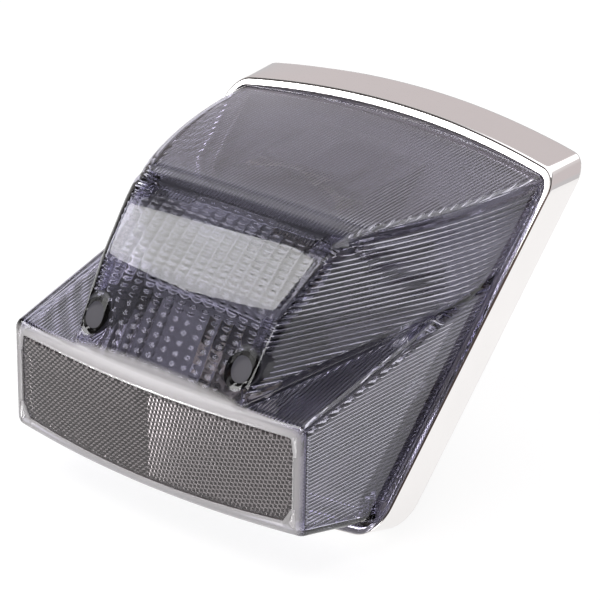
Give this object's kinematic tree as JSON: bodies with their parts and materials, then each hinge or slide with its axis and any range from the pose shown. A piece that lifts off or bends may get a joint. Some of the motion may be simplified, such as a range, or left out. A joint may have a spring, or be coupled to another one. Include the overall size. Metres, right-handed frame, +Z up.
{
  "type": "scooter tail light",
  "caption": "Motor scooter tail light: smoked lens with a reflex panel, bright rim, base tray with stop and tail bulbs, and studs for the bodywork.",
  "frame": {"origin": "centre of the seat on the bodywork, on the rear face of the body gasket", "axes": "+X across the lamp, -Y out of the lamp's front and +Y towards the vehicle, +Z up; the seat plane leans 45 degrees"},
  "size_m": [0.1278, 0.138, 0.099],
  "materials": {
    "smoked_lens": "smoked clear, glossy outside, fluted inside",
    "reflex_clear": "clear over fine prisms, slightly smoked",
    "reflex_plate": "satin",
    "bright_plating": "polished plating on plastic",
    "seal_rubber": "soft, dull",
    "tray_plastic": "fine moulded grain",
    "sleeve_plastic": "satin black",
    "plug_plastic": "satin grey",
    "silvering": "metallised plastic",
    "zinc_steel": "bright zinc",
    "brass": "bare",
    "tinned_brass": "tinned",
    "bulb_glass": "clear",
    "filament": "drawn wire",
    "hard_paper": "brown laminate"
  },
  "bodies": {
    "root": {"lens": "smoked_lens", "reflex_panel": "reflex_clear", "reflex_backing": "reflex_plate", "bright_rim": "bright_plating", "lens_gasket": "seal_rubber", "base_tray": "tray_plastic", "body_gasket": "seal_rubber", "silvered_bowl": "silvering", "bowl_screws": "zinc_steel", "screw_sleeves": "sleeve_plastic", "screw_plugs": "plug_plastic", "lens_screws": "zinc_steel", "lens_screw_washers": "zinc_steel", "threaded_inserts": "brass", "stop_bulb_glass": "bulb_glass", "stop_bulb_cap": "brass", "stop_filament": "filament", "tail_bulb_glass": "bulb_glass", "tail_bulb_cap": "brass", "tail_filament": "filament", "stop_socket": "tinned_brass", "tail_socket": "tinned_brass", "stop_insulator": "hard_paper", "tail_insulator": "hard_paper", "stop_contact": "brass", "tail_contact": "brass", "stop_spring": "zinc_steel", "tail_spring": "zinc_steel", "socket_rivets": "zinc_steel", "earth_strap": "brass", "terminal_blades": "brass", "blade_rivets": "zinc_steel", "cable_grommet": "seal_rubber", "mounting_studs": "zinc_steel", "stud_washers": "zinc_steel", "stud_nuts": "zinc_steel"}
  },
  "joints": []
}
